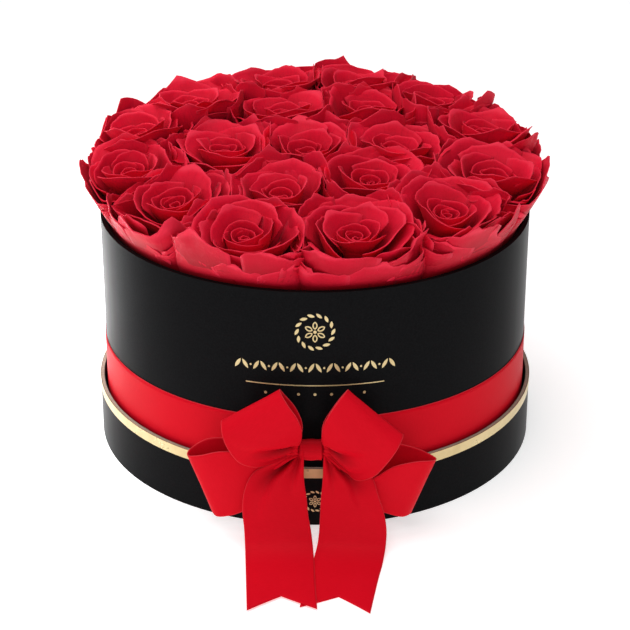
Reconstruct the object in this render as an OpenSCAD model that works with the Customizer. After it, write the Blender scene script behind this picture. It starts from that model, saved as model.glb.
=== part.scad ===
// Round flower box: a paper-covered board box of preserved roses set in floral foam. It stands in its
// own upturned lid, which has a gold foil edge, and is tied with a satin ribbon and a four-loop bow.
// Millimetres. The origin is the centre of the lid's underside, +Z is up and the bow faces -Y.

/* [Box] */
// Outside diameter of the box
box_d = 280; // [230:1:340]
// Height of the box's rim above the floor
rim_h = 157; // [135:1:190]
// Thickness of the board in the box's wall
wall_board = 2.5; // [1.5:0.1:4]
// Thickness of the board in the box's base
base_board = 2; // [1.5:0.1:4]
// Thickness of each covering or lining paper
paper = 0.3; // [0.2:0.05:0.5]
// How far the covering paper turns in over the rim
turn_in = 15; // [8:1:25]

/* [Lid] */
// Height of the lid that the box stands in
lid_h = 40; // [32:1:50]
// Clear gap all round between the box and the lid's lining
lid_gap = 2.4; // [1.5:0.1:4]
// Thickness of the board in the lid's wall
lid_board = 2; // [1.5:0.1:3]
// Thickness of the board in the lid's flat panel
panel_board = 2; // [1.5:0.1:3]
// Clearance under the box where it stands in the lid
seat_gap = 0.2; // [0.1:0.05:0.5]
// Height of the gold foil band outside the lid's mouth
foil_band = 6.5; // [4:0.5:10]
// Thickness of the foil
foil = 0.15; // [0.1:0.05:0.3]

/* [Flowers] */
// Depth of the foam's top below the rim
foam_drop = 32; // [26:1:40]
// Gap between the foam and the box's lining
foam_gap = 0.5; // [0.3:0.1:2]
// Diameter of a rose stem
stem_d = 5; // [3:0.5:7]
// How deep each stem is pushed into the foam
stem_depth = 45; // [30:1:60]
// Height of the green calyx between stem and petals
calyx_h = 8; // [6:1:10]
// Radius of the calyx where the petals start
calyx_r = 9; // [7:0.5:11]
// Radius that a rose head opens to where it has room
rose_r = 38; // [32:1:42]
// Height of a front rose's top above the rim
rose_rise = 28; // [18:1:34]
// How much higher the rearmost roses stand than the front ones
bank_rise = 22; // [0:1:30]
// How far the petals lean out past the outside of the box
overhang = 10; // [2:1:14]
// Gap between neighbouring roses
rose_gap = 0.6; // [0.4:0.1:2]

/* [Ribbon] */
// Width of the satin ribbon
ribbon_w = 40; // [32:1:48]
// Thickness of the ribbon
ribbon_t = 0.5; // [0.4:0.1:1]
// Height of the ribbon band's lower edge above the floor
band_z = 32.5; // [28:0.5:40]
// How far the middle of the bow is from the middle of the box's front, to the right
bow_x = -2.5; // [-20:0.5:20]
// Width of the wrap round the middle of the bow
wrap_w = 13; // [10:1:18]
// Height of the wrap round the middle of the bow
wrap_h = 15; // [12:1:20]
// Depth of the wrap from front to back
wrap_depth = 14; // [12:1:18]
// Length of an upper loop from the gather to its fold
upper_loop = 46; // [38:1:55]
// Length of a lower loop from the gather to its fold
lower_loop = 64; // [54:1:74]
// Distance that the tails reach in front of the box along the floor
tail_reach = 102; // [80:1:125]
// Depth of the V cut in the end of each tail
tail_notch = 15; // [8:1:20]

/* [Foil prints] */
// Height of the middle of the wreath above the floor
wreath_z = 131; // [120:1:140]
// Radius of the wreath
wreath_r = 13; // [9:0.5:15]
// Height of the middle of the leaf garland
garland_z = 107; // [100:1:112]
// Height of the fine rule under the garland
rule_z = 95; // [90:1:98]
// Height of the row of dots
dots_z = 89; // [84:1:93]
// Height of the middle of the small wreath on the lid
lid_wreath_z = 17; // [12:1:20]
// Radius of the small wreath on the lid
lid_wreath_r = 8; // [5:0.5:9]

/* [Hidden] */
$fn = 96;
ROSES = 19;
ROSE_NODES = ["rose_01", "rose_02", "rose_03", "rose_04", "rose_05", "rose_06", "rose_07", "rose_08",
              "rose_09", "rose_10", "rose_11", "rose_12", "rose_13", "rose_14", "rose_15", "rose_16",
              "rose_17", "rose_18", "rose_19"];
LID_NODES = ["lid_base_sheet", "lid_panel", "lid_wall", "lid_wrap", "lid_lining", "lid_edge_foil",
             "lid_wreath"];
BOX_NODES = ["box_base_sheet", "box_base_board", "box_wall", "box_wrap", "box_lining", "foam_block",
             "rose_stems", "rose_calyxes"];
BOW_NODES = ["ribbon_band", "bow_glue_pad", "bow_gather", "bow_wrap", "loop_upper_left",
             "loop_upper_right", "loop_lower_left", "loop_lower_right", "tail_left", "tail_right"];
PRINT_NODES = ["front_wreath", "front_garland", "front_rule", "front_dots"];

// Box
box_r = box_d / 2;
board_r = box_r - paper;                  // outside of the wall's board
board_in_r = board_r - wall_board;        // inside of the wall's board
box_in_r = board_in_r - paper;            // inside of the lining
// Lid
lid_in_r = box_r + lid_gap;               // inside of the lid's lining
lid_board_in_r = lid_in_r + paper;
lid_board_r = lid_board_in_r + lid_board;
lid_r = lid_board_r + paper;              // outside of the lid's wrap
lid_floor = paper + panel_board + paper;  // top of the lining on the panel
seat_z = lid_floor + seat_gap;            // underside of the box
base_z = seat_z + paper;                  // underside of the base board and wall
base_top = base_z + base_board;
floor_top = base_top + paper;             // top of the lining on the base
// Flowers
foam_r = box_in_r - foam_gap;
foam_top = rim_h - foam_drop;
stem_z = foam_top - stem_depth;
head_z = foam_top + calyx_h;              // where the petals start
roof_z = rim_h + rose_rise + bank_rise + 5;
rim_clear = 0.5;                          // gap between the petals and the rim
cell_reach = 2.4 * rose_r;                // neighbours further away than this don't touch
// Direction from -Y, anticlockwise from above, and distance from the middle as a share of box_r:
// twelve roses round the rim, then six round the middle, then the middle one.
ROSE_PLACES = [
    [-21, 0.82], [13, 0.78], [47, 0.81], [78, 0.84], [110, 0.86], [137, 0.86], [166, 0.87],
    [192, 0.86], [225, 0.85], [251, 0.88], [279, 0.85], [306, 0.77], [-22, 0.39], [48, 0.34],
    [105, 0.40], [154, 0.60], [196, 0.54], [258, 0.43], [205, 0.10]];
// Ribbon and bow
band_r = box_r + ribbon_t;
band_top = band_z + ribbon_w;
bow_z = band_z + 0.65 * ribbon_w;         // middle of the bow
bow_y = -band_r - 0.8;                    // back of the wrap, on its glue pad
gather_side = 1;                          // how far the gathered ribbon stands out of the wrap
gather_x = wrap_w / 2 + gather_side;
gather_h = wrap_h - 2 * ribbon_t;
gather_depth = wrap_depth - 2 * ribbon_t;
loop_root_w = 12;                         // width of a loop where it is gathered
root_r = 1.5;                             // half the thickness of a loop where it is gathered
upper_y = bow_y - 13.2;                   // the three layers of ribbon at the gather, front to back
tail_y = bow_y - 8.4;
lower_y = bow_y - 5.4;
upper_fold = 9;                           // radius of an upper loop's fold
lower_fold = 8;
tail_z = 1;                               // height of the right tail's middle over the floor
tail_cross = 1;                           // the left tail lies over the right one by this much

module disc(r, low, high) {
    translate([0, 0, low]) cylinder(r = r, h = high - low);
}

module ring(r_in, r_out, low, high) {
    difference() {
        disc(r_out, low, high);
        disc(r_in, low - 1, high + 1);
    }
}

// ---- Lid, upside down under the box ----

module lid_base_sheet() {
    color("#1c1c1e") disc(lid_board_r, 0, paper);
}

module lid_panel() {
    color("#9a8f7c") disc(lid_board_in_r, paper, paper + panel_board);
}

module lid_wall() {
    color("#9a8f7c") ring(lid_board_in_r, lid_board_r, paper, lid_h);
}

module lid_wrap() {
    color("#1c1c1e") ring(lid_board_r, lid_r, 0, lid_h);
}

module lid_lining() {
    color("#222224") {
        disc(lid_in_r, paper + panel_board, lid_floor);
        ring(lid_in_r, lid_board_in_r, paper + panel_board, lid_h);
    }
}

// The foil goes round the outside only: the lid's edge stays black.
module lid_edge_foil() {
    color("#c9b077") ring(lid_r, lid_r + foil, lid_h - foil_band, lid_h);
}

// ---- Box ----

module box_base_sheet() {
    color("#1c1c1e") disc(board_r, seat_z, base_z);
}

module box_base_board() {
    color("#9a8f7c") disc(board_in_r, base_z, base_top);
}

module box_wall() {
    color("#9a8f7c") ring(board_in_r, board_r, base_z, rim_h - paper);
}

// Covers the outside, folds over the rim and turns in.
module box_wrap() {
    color("#1c1c1e") rotate_extrude() polygon([
        [board_r, seat_z],
        [box_r, seat_z],
        [box_r, rim_h],
        [box_in_r, rim_h],
        [box_in_r, rim_h - turn_in],
        [board_in_r, rim_h - turn_in],
        [board_in_r, rim_h - paper],
        [board_r, rim_h - paper]]);
}

module box_lining() {
    color("#222224") {
        disc(box_in_r, base_top, floor_top);
        ring(box_in_r, board_in_r, base_top, rim_h - turn_in);
    }
}

// ---- Flowers ----

function rose_x(i) = box_r * ROSE_PLACES[i][1] * sin(ROSE_PLACES[i][0]);
function rose_y(i) = -box_r * ROSE_PLACES[i][1] * cos(ROSE_PLACES[i][0]);
function rose_top(i) = rim_h + rose_rise + bank_rise * (rose_y(i) + box_r) / box_d;
function apart(i, j) = norm([rose_x(i) - rose_x(j), rose_y(i) - rose_y(j)]);

module at_rose(i, z) {
    translate([rose_x(i), rose_y(i), z]) children();
}

module foam_block() {
    color("#5d8a4f") difference() {
        disc(foam_r, floor_top, foam_top);
        for (i = [0:ROSES - 1]) at_rose(i, stem_z) cylinder(d = stem_d, h = stem_depth + 1);
    }
}

module rose_stems() {
    color("#4d6b34") for (i = [0:ROSES - 1]) at_rose(i, stem_z) cylinder(d = stem_d, h = stem_depth);
}

module rose_calyxes() {
    color("#4d6b34") for (i = [0:ROSES - 1]) at_rose(i, foam_top)
        cylinder(r1 = stem_d / 2, r2 = calyx_r, h = calyx_h);
}

// The ground that a rose has before it meets its neighbours, halfway between their middles.
module rose_cell(i) {
    difference() {
        translate([rose_x(i), rose_y(i)]) circle(r = rose_r + 1);
        for (j = [0:ROSES - 1]) if (j != i && apart(i, j) < cell_reach) {
            dx = rose_x(j) - rose_x(i);
            dy = rose_y(j) - rose_y(i);
            translate([rose_x(i) + dx / 2, rose_y(i) + dy / 2]) rotate(atan2(dy, dx))
                translate([-rose_gap / 2, -cell_reach]) square([2 * cell_reach, 2 * cell_reach]);
        }
    }
}

// Half outline of a rose head that is h high and r wide, from the calyx to the crown.
function rose_outline(r, h) = [
    [0, 0], [calyx_r, 0], [0.62 * r, 0.2 * h], [0.93 * r, 0.45 * h], [r, 0.66 * h],
    [0.9 * r, 0.86 * h], [0.6 * r, 0.97 * h], [0.3 * r, h], [0, h]];

// Inside the box up to the rim, and out past the wall above it.
module rose_room() {
    rotate_extrude() polygon([
        [0, foam_top],
        [box_in_r - rim_clear, foam_top],
        [box_in_r - rim_clear, rim_h + rim_clear],
        [box_r + overhang, rim_h + rim_clear],
        [box_r + overhang, roof_z],
        [0, roof_z]]);
}

module rose(i) {
    color("#d91a33") intersection() {
        at_rose(i, head_z) rotate_extrude() polygon(rose_outline(rose_r, rose_top(i) - head_z));
        translate([0, 0, foam_top]) linear_extrude(roof_z - foam_top) rose_cell(i);
        rose_room();
    }
}

// ---- Ribbon and bow ----

module ribbon_band() {
    color("#dd1f30") ring(box_r, band_r, band_z, band_top);
}

module round_rect(w, h, r) {
    square([w - 2 * r, h], center = true);
    square([w, h - 2 * r], center = true);
    for (sx = [-1, 1]) for (sy = [-1, 1])
        translate([sx * (w / 2 - r), sy * (h / 2 - r)]) circle(r = r);
}

// Fills the space between the round band and the flat back of the wrap.
module bow_glue_pad() {
    pad_w = wrap_w - 4;
    pad_h = wrap_h / 3;
    pad_z = bow_z - wrap_h / 2 + 1.5;
    steps = 720;
    color("#e8e4da") difference() {
        translate([bow_x - pad_w / 2, bow_y, pad_z]) cube([pad_w, 6, pad_h]);
        cylinder(r = band_r / cos(180 / steps), h = rim_h, $fn = steps);
    }
}

// Lays a side view drawn as [front to back, up] out along X, centred on the middle of the bow.
module along_x(length) {
    translate([bow_x - length / 2, bow_y - wrap_depth / 2, bow_z]) rotate([90, 0, 90])
        linear_extrude(length) children();
}

// The ribbon where all four loops and both tails are gathered and held.
module bow_gather() {
    color("#b80f20") along_x(2 * gather_x) round_rect(gather_depth, gather_h, 3);
}

module bow_wrap() {
    color("#dd1f30") along_x(wrap_w) difference() {
        round_rect(wrap_depth, wrap_h, 3.5);
        round_rect(gather_depth, gather_h, 3);
    }
}

// Points on an arc of radius r about [x, 0], from one angle to another.
function arc(x, r, from, to, steps) =
    [for (k = [0:steps]) let (a = from + (to - from) * k / steps) [x + r * cos(a), r * sin(a)]];

// Side view of a loop: flat where it is gathered, at the origin, and round at its fold.
module loop_side(length, fold, inset) {
    far_x = length - fold;
    tilt = asin((fold - root_r) / (far_x - root_r));
    polygon(concat(
        arc(far_x, fold - inset, -90 - tilt, 90 + tilt, 12),
        arc(root_r, root_r - inset, 90 + tilt, 270 - tilt, 4)));
}

// A loop of ribbon that runs out at the given angle above the floor, widens from the gather and
// leans forward. It ends against the side of the gather.
module bow_loop(length, fold, angle, lean, root_y, root_z) {
    side = cos(angle) < 0 ? -1 : 1;
    inset = 3;
    difference() {
        translate([bow_x + side * (gather_x - inset), root_y, root_z])
            rotate([0, -angle, 0]) rotate([0, 0, -lean]) intersection() {
                translate([0, 0, -ribbon_w / 2]) linear_extrude(ribbon_w) difference() {
                    loop_side(length + inset, fold, 0);
                    loop_side(length + inset, fold, ribbon_t);
                }
                rotate([90, 0, 0]) translate([0, 0, -2 * fold]) linear_extrude(4 * fold) polygon([
                    [-1, -loop_root_w / 2],
                    [0.8 * length, -ribbon_w / 2],
                    [length + inset + 1, -ribbon_w / 2],
                    [length + inset + 1, ribbon_w / 2],
                    [0.8 * length, ribbon_w / 2],
                    [-1, loop_root_w / 2]]);
            }
        translate([bow_x - gather_x, bow_y - 2 * wrap_depth, bow_z - 2 * wrap_h])
            cube([2 * gather_x, 3 * wrap_depth, 4 * wrap_h]);
    }
}

module loop_upper_left() {
    color("#dd1f30") bow_loop(upper_loop, upper_fold, 130, 6, upper_y, bow_z + 1);
}

module loop_upper_right() {
    color("#dd1f30") bow_loop(upper_loop, upper_fold, 44, 6, upper_y, bow_z + 1);
}

module loop_lower_left() {
    color("#dd1f30") bow_loop(lower_loop, lower_fold, 201, 7, lower_y, bow_z - 3);
}

module loop_lower_right() {
    color("#dd1f30") bow_loop(lower_loop, lower_fold, -23, 7, lower_y, bow_z - 3);
}

function bezier(a, b, c, d, t) =
    pow(1 - t, 3) * a + 3 * pow(1 - t, 2) * t * b + 3 * (1 - t) * t * t * c + t * t * t * d;

// Middle line of a tail as [y, z]: out of the gather, forward in a belly, down, and out on the floor.
function tail_line(z, end_y) = concat(
    [for (k = [0:8]) bezier([tail_y, bow_z + 1], [tail_y - 2, bow_z - 7], [tail_y - 19, bow_z - 9],
                            [tail_y - 20, bow_z - 27], k / 8)],
    [for (k = [1:8]) bezier([tail_y - 20, bow_z - 27], [tail_y - 21, z + 12], [tail_y - 22, z],
                            [tail_y - 38, z], k / 8)],
    [[end_y - 2, z]]);

// Direction square to the line at point k.
function square_to(line, k) =
    let (a = line[max(k - 1, 0)], b = line[min(k + 1, len(line) - 1)], d = b - a)
    [d[1], -d[0]] / norm(d);

module strip(line, thickness) {
    last = len(line) - 1;
    polygon(concat(
        [for (k = [0:last]) line[k] + square_to(line, k) * thickness / 2],
        [for (k = [last:-1:0]) line[k] - square_to(line, k) * thickness / 2]));
}

// A tail whose middle is at root_x near the box and at end_x at its cut end.
module tail(root_x, end_x, end_y, z) {
    side = root_x < bow_x ? -1 : 1;
    half = ribbon_w / 2;
    inner = root_x - side * half;
    outer = root_x + side * half;
    gather_edge = bow_x + side * gather_x;
    intersection() {
        translate([-ribbon_w * 2, 0, 0]) rotate([90, 0, 90]) linear_extrude(ribbon_w * 4)
            strip(tail_line(z, end_y), ribbon_t);
        rotate([90, 0, 0]) linear_extrude(-end_y + 10) polygon([
            [gather_edge, bow_z - 1],
            [gather_edge + side * 5, bow_z - 1],
            [outer, bow_z - 20],
            [outer + side * half, -1],
            [inner - side * half, -1],
            [inner, bow_z - 15],
            [gather_edge, bow_z - 9]]);
        translate([0, 0, -1]) linear_extrude(rim_h) polygon([
            [root_x - half, 0],
            [root_x - half, tail_y - 30],
            [end_x - half, end_y],
            [end_x, end_y + tail_notch],
            [end_x + half, end_y],
            [root_x + half, tail_y - 30],
            [root_x + half, 0]]);
    }
}

module tail_left() {
    color("#dd1f30") tail(bow_x - ribbon_w / 2 - 1.5, bow_x - 16.5, 1 - box_r - tail_reach, tail_z + tail_cross);
}

module tail_right() {
    color("#dd1f30") tail(bow_x + ribbon_w / 2 + 6, bow_x + 14, -box_r - tail_reach, tail_z);
}

// ---- Gold foil prints ----

// Puts a flat drawing on the front of a cylinder of radius r, at height z, as thin foil.
module foil_print(r, z) {
    intersection() {
        ring(r, r + foil, z - 20, z + 20);
        translate([0, 0, z]) rotate([90, 0, 0]) linear_extrude(r + 1) children();
    }
}

module leaf(length, width) {
    bow = (length * length / 4 + width * width / 4) / width;
    intersection() {
        translate([0, bow - width / 2]) circle(r = bow);
        translate([0, width / 2 - bow]) circle(r = bow);
    }
}

// A ring of leaves round a small open flower.
module wreath(r) {
    leaves = 14;
    petals = 6;
    for (k = [0:leaves - 1]) rotate(360 / leaves * k) translate([0.84 * r, 0]) rotate(62)
        leaf(0.36 * r, 0.15 * r);
    for (k = [0:petals - 1]) rotate(360 / petals * k + 90) translate([0.33 * r, 0]) difference() {
        leaf(0.4 * r, 0.24 * r);
        leaf(0.28 * r, 0.12 * r);
    }
    circle(r = 0.08 * r);
}

// Leaves in slanted pairs with a dot between the pairs.
module garland(width, height) {
    pairs = 9;
    step = width / pairs;
    for (k = [0:pairs - 1]) translate([(k - (pairs - 1) / 2) * step, 0]) {
        translate([-0.2 * step, 0]) rotate(60) leaf(height, 0.3 * height);
        translate([0.2 * step, 0]) rotate(120) leaf(height, 0.3 * height);
        translate([0.5 * step, 0]) if (k < pairs - 1) circle(r = 0.09 * height);
    }
}

module lid_wreath() {
    color("#c9b077") foil_print(lid_r, lid_wreath_z) wreath(lid_wreath_r);
}

module front_wreath() {
    color("#c9b077") foil_print(box_r, wreath_z) wreath(wreath_r);
}

module front_garland() {
    color("#c9b077") foil_print(box_r, garland_z) garland(100, 7);
}

module front_rule() {
    color("#c9b077") foil_print(box_r, rule_z) square([84, 0.6], center = true);
}

module front_dots() {
    color("#c9b077") foil_print(box_r, dots_z) for (k = [-3:3]) translate([k * 10, 0]) circle(r = 0.9);
}

lid_base_sheet();
lid_panel();
lid_wall();
lid_wrap();
lid_lining();
lid_edge_foil();
lid_wreath();
box_base_sheet();
box_base_board();
box_wall();
box_wrap();
box_lining();
foam_block();
rose_stems();
rose_calyxes();
for (i = [0:ROSES - 1]) rose(i);
ribbon_band();
bow_glue_pad();
bow_gather();
bow_wrap();
loop_upper_left();
loop_upper_right();
loop_lower_left();
loop_lower_right();
tail_left();
tail_right();
front_wreath();
front_garland();
front_rule();
front_dots();
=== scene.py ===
"""Round flower box of preserved roses that stands in its own lid, with a satin ribbon and a bow.

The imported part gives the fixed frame. This script dresses its paper, board and foil, and makes the
roses and the ribbon as real petals and real lengths of ribbon. All lengths are in metres.
"""

import logging
import math
from dataclasses import dataclass, field
from enum import Enum

import bpy
import numpy as np
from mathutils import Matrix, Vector


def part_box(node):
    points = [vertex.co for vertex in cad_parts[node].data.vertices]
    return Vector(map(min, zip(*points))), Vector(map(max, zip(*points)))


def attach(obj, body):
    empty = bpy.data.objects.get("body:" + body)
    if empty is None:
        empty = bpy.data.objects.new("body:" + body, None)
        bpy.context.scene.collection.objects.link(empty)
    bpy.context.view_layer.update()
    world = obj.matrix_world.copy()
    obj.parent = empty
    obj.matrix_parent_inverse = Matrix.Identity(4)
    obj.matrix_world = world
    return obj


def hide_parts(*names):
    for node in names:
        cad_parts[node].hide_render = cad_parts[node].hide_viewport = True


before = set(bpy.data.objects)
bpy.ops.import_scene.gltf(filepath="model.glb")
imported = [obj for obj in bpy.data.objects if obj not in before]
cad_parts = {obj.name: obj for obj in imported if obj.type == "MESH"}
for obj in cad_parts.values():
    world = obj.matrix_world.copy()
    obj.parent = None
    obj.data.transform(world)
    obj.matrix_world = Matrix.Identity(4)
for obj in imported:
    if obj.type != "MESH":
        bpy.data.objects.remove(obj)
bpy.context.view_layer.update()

MM = 0.001
GOLDEN_ANGLE = math.radians(137.5)
BOX_BODY = "flower_box"
LOG = logging.getLogger("flower_box")
Colour = tuple[float, float, float]
Point = tuple[float, float, float]


# ---- Helpers for meshes and curves ----

def mesh_piece(name: str, points: np.ndarray, faces: list[tuple[int, ...]]) -> bpy.types.Object:
    """Makes a smooth-shaded mesh object.

    Args:
        name: The piece's name.
        points: The vertices, n by 3, in metres.
        faces: The vertex numbers of each face.

    Returns:
        The new object, linked to the scene.
    """
    mesh = bpy.data.meshes.new(name)
    mesh.from_pydata(points.tolist(), [], faces)
    mesh.polygons.foreach_set("use_smooth", [True] * len(mesh.polygons))
    mesh.update()
    piece = bpy.data.objects.new(name, mesh)
    bpy.context.scene.collection.objects.link(piece)
    return piece


def grid_faces(rows: int, columns: int, first: int = 0, closed: bool = False) -> list[tuple[int, ...]]:
    """The quads of a grid of points.

    Args:
        rows: How many rows of points there are.
        columns: How many points each row has.
        first: The number of the grid's first point.
        closed: True if the last row joins the first one.

    Returns:
        The faces as tuples of four point numbers.
    """
    faces = []
    for i in range(rows if closed else rows - 1):
        here = first + i * columns
        there = first + (i + 1) % rows * columns
        for j in range(columns - 1):
            faces.append((here + j, here + j + 1, there + j + 1, there + j))
    return faces


def add_values(piece: bpy.types.Object, name: str, values: np.ndarray) -> None:
    """Stores one number for each vertex, which a finish reads by its name."""
    piece.data.attributes.new(name, "FLOAT", "POINT").data.foreach_set("value", values.astype(np.float32))


def add_uv(piece: bpy.types.Object, flat: np.ndarray) -> None:
    """Stores where each vertex lies on the flat material as the piece's UV map.

    Args:
        piece: The piece.
        flat: The flat position of each vertex, n by 2.
    """
    corners = np.zeros(len(piece.data.loops), np.int32)
    piece.data.loops.foreach_get("vertex_index", corners)
    layer = piece.data.uv_layers.new(name="UVMap")
    layer.data.foreach_set("uv", flat[corners].astype(np.float32).ravel())


def thicken(piece: bpy.types.Object, thickness: float) -> None:
    """Gives a sheet its thickness, half to each side, with a Solidify modifier.

    Args:
        piece: The sheet.
        thickness: Its full thickness in metres.
    """
    solid = piece.modifiers.new("thickness", "SOLIDIFY")
    solid.thickness = thickness
    solid.offset = 0.0


def smooth_line(points: np.ndarray, at: np.ndarray) -> np.ndarray:
    """Points on a Catmull-Rom curve through the given points, by share of its chord length.

    Args:
        points: The points that the curve goes through, n by 3.
        at: The shares of the length, from 0 to 1, where the curve is wanted.

    Returns:
        One point for each share.
    """
    steps = np.linalg.norm(np.diff(points, axis=0), axis=1)
    knots = np.concatenate([[0.0], np.cumsum(steps)]) / steps.sum()
    slopes = np.gradient(points, knots, axis=0)
    i = np.clip(np.searchsorted(knots, at, side="right") - 1, 0, len(points) - 2)
    span = (knots[i + 1] - knots[i])[:, None]
    t = ((at - knots[i])[:, None]) / span
    start, end = points[i], points[i + 1]
    return (
        (2 * t**3 - 3 * t**2 + 1) * start
        + (t**3 - 2 * t**2 + t) * span * slopes[i]
        + (3 * t**2 - 2 * t**3) * end
        + (t**3 - t**2) * span * slopes[i + 1]
    )


def loose_parts(mesh: bpy.types.Mesh) -> list[list[int]]:
    """Finds the parts of a mesh that don't touch each other.

    Args:
        mesh: The mesh.

    Returns:
        The vertex numbers of each part.
    """
    group = list(range(len(mesh.vertices)))

    def root(i: int) -> int:
        """Follows the groups to the first vertex of a vertex's part.

        Args:
            i: The vertex's number.

        Returns:
            The first vertex's number.
        """
        while group[i] != i:
            group[i] = group[group[i]]
            i = group[i]
        return i

    for edge in mesh.edges:
        a, b = root(edge.vertices[0]), root(edge.vertices[1])
        group[max(a, b)] = min(a, b)
    parts: dict[int, list[int]] = {}
    for i in range(len(mesh.vertices)):
        parts.setdefault(root(i), []).append(i)
    return list(parts.values())


def centre_of(node: str) -> Vector:
    """The middle of a CAD node's box."""
    low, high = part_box(node)
    return (low + high) / 2


# ---- Finishes ----

class Slot(Enum):
    """The record's material slots."""

    PAPER = "black_paper"
    LINING = "lining_paper"
    BOARD = "grey_board"
    FOIL = "gold_foil"
    FOAM = "floral_foam"
    STEM = "stem"
    PETAL = "rose_petal"
    SATIN = "red_satin"
    GLUE = "glue"


class Recipe:
    """A material under construction: its shader and the nodes that feed it."""

    def __init__(self, name: str) -> None:
        """Starts a material that has only a Principled shader.

        Args:
            name: The material's name.
        """
        self.material = bpy.data.materials.new(name)
        self.material.use_nodes = True
        self.tree = self.material.node_tree
        self.shader = self.tree.nodes["Principled BSDF"]

    def node(self, kind: str, inputs: dict[str | int, object] | None = None,
             **settings: object) -> bpy.types.Node:
        """Adds a node.

        Args:
            kind: The node's type, without the ShaderNode that all types start with.
            inputs: The values of its input sockets.
            settings: The values of its own properties.

        Returns:
            The new node.
        """
        made = self.tree.nodes.new("ShaderNode" + kind)
        for key, value in settings.items():
            setattr(made, key, value)
        for key, value in (inputs or {}).items():
            made.inputs[key].default_value = value
        return made

    def link(self, source: bpy.types.NodeSocket, target: bpy.types.NodeSocket) -> None:
        """Joins two sockets."""
        self.tree.links.new(source, target)

    def constants(self, **values: object) -> None:
        """Sets values that are the same all over the surface on the shader itself."""
        for key, value in values.items():
            self.shader.inputs[key.replace("_", " ")].default_value = value

    def coordinates(self, scale: Colour, on_uv: bool = False) -> bpy.types.NodeSocket:
        """Where a texture is read: the object's own space or its UV map, scaled.

        Args:
            scale: How much each axis is stretched.
            on_uv: True for the UV map.

        Returns:
            The mapped coordinates.
        """
        source = self.node("TexCoord")
        mapping = self.node("Mapping", {"Scale": scale})
        self.link(source.outputs["UV" if on_uv else "Object"], mapping.inputs["Vector"])
        return mapping.outputs["Vector"]

    def noise(self, where: bpy.types.NodeSocket, scale: float, detail: float = 3.0) -> bpy.types.NodeSocket:
        """Fractal noise.

        Args:
            where: The coordinates to read it at.
            scale: How many times it repeats in each metre.
            detail: How many finer layers it has.

        Returns:
            The noise, from 0 to 1.
        """
        texture = self.node("TexNoise", {"Scale": scale, "Detail": detail})
        self.link(where, texture.inputs["Vector"])
        return texture.outputs["Fac"]

    def spread(self, value: bpy.types.NodeSocket, low: float, high: float,
               to_low: float = 0.0, to_high: float = 1.0) -> bpy.types.NodeSocket:
        """Maps a value from one range to another and clamps it.

        Args:
            value: The value to map.
            low: The value that becomes to_low.
            high: The value that becomes to_high.
            to_low: The new range's start.
            to_high: The new range's end.

        Returns:
            The mapped value.
        """
        ends = {"From Min": low, "From Max": high, "To Min": to_low, "To Max": to_high}
        ranged = self.node("MapRange", ends)
        self.link(value, ranged.inputs["Value"])
        return ranged.outputs["Result"]

    def blend(self, share: bpy.types.NodeSocket, first: Colour | bpy.types.NodeSocket,
              second: Colour | bpy.types.NodeSocket) -> bpy.types.NodeSocket:
        """Mixes two colours, each a constant or another node's output.

        Args:
            share: How much of the second colour there is, from 0 to 1.
            first: The colour at 0.
            second: The colour at 1.

        Returns:
            The mixed colour.
        """
        mix = self.node("Mix", data_type="RGBA")
        self.link(share, mix.inputs["Factor"])
        for socket, colour in ((mix.inputs[6], first), (mix.inputs[7], second)):
            if isinstance(colour, tuple):
                socket.default_value = (*colour, 1.0)
            else:
                self.link(colour, socket)
        return mix.outputs[2]

    def vertex_value(self, name: str) -> bpy.types.NodeSocket:
        """A number stored on the vertices by add_values()."""
        return self.node("Attribute", attribute_name=name).outputs["Fac"]

    def relief(self, height: bpy.types.NodeSocket, strength: float, depth: float,
               under: bpy.types.NodeSocket | None = None) -> bpy.types.NodeSocket:
        """Bumps the surface and joins it to the shader.

        Args:
            height: The height from 0 to 1.
            strength: How strongly it shows.
            depth: The height's full depth in metres.
            under: The normal of a coarser relief that this one lies on.

        Returns:
            The bumped normal.
        """
        bump = self.node("Bump", {"Strength": strength, "Distance": depth})
        self.link(height, bump.inputs["Height"])
        if under is not None:
            self.link(under, bump.inputs["Normal"])
        self.link(bump.outputs["Normal"], self.shader.inputs["Normal"])
        return bump.outputs["Normal"]


@dataclass(frozen=True)
class PetalFinish:
    """Velvety preserved rose petals, with painted shade deep in the rose and a painted highlight along the
    thin edges.
    """

    # deep is the colour of the painted shade deep in the rose, which the veins use too; edge is the colour
    # of the painted highlight along petal edges.
    deep: Colour = (0.30, 0.0008, 0.007)
    face: Colour = (0.83, 0.007, 0.040)
    dry: Colour = (0.73, 0.005, 0.031)
    edge: Colour = (0.84, 0.024, 0.062)

    def build(self) -> bpy.types.Material:
        """Makes the material, which reads the painted shade deep in the rose and the painted highlight near
        a petal's edge.

        Returns:
            The petals' material.
        """
        r = Recipe("rose_petal")
        r.constants(Roughness=0.58, Specular_IOR_Level=0.14, Sheen_Weight=0.03, Sheen_Roughness=0.45,
                    Sheen_Tint=(1.0, 0.42, 0.5, 1.0))
        patches = r.spread(r.noise(r.coordinates((1, 1, 1)), 60.0), 0.35, 0.68)
        body = r.blend(patches, self.face, self.dry)
        # Painted shade: darker towards each petal's base, and all over the skirt petals.
        shaded = r.blend(r.vertex_value("depth"), body, self.deep)
        veins = r.noise(r.coordinates((42.0, 3.0, 1.0), on_uv=True), 1.0, 4.0)
        lined = r.blend(r.spread(veins, 0.55, 0.8, 0.0, 0.28), shaded, self.deep)
        # Painted highlight: lighter pink along the petals' edges and rolled lips.
        r.link(r.blend(r.vertex_value("edge"), lined, self.edge), r.shader.inputs["Base Color"])
        wide = r.relief(r.noise(r.coordinates((1, 1, 1)), 190.0), 0.35, 0.7 * MM)
        r.relief(veins, 0.4, 0.35 * MM, wide)
        return r.material


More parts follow.
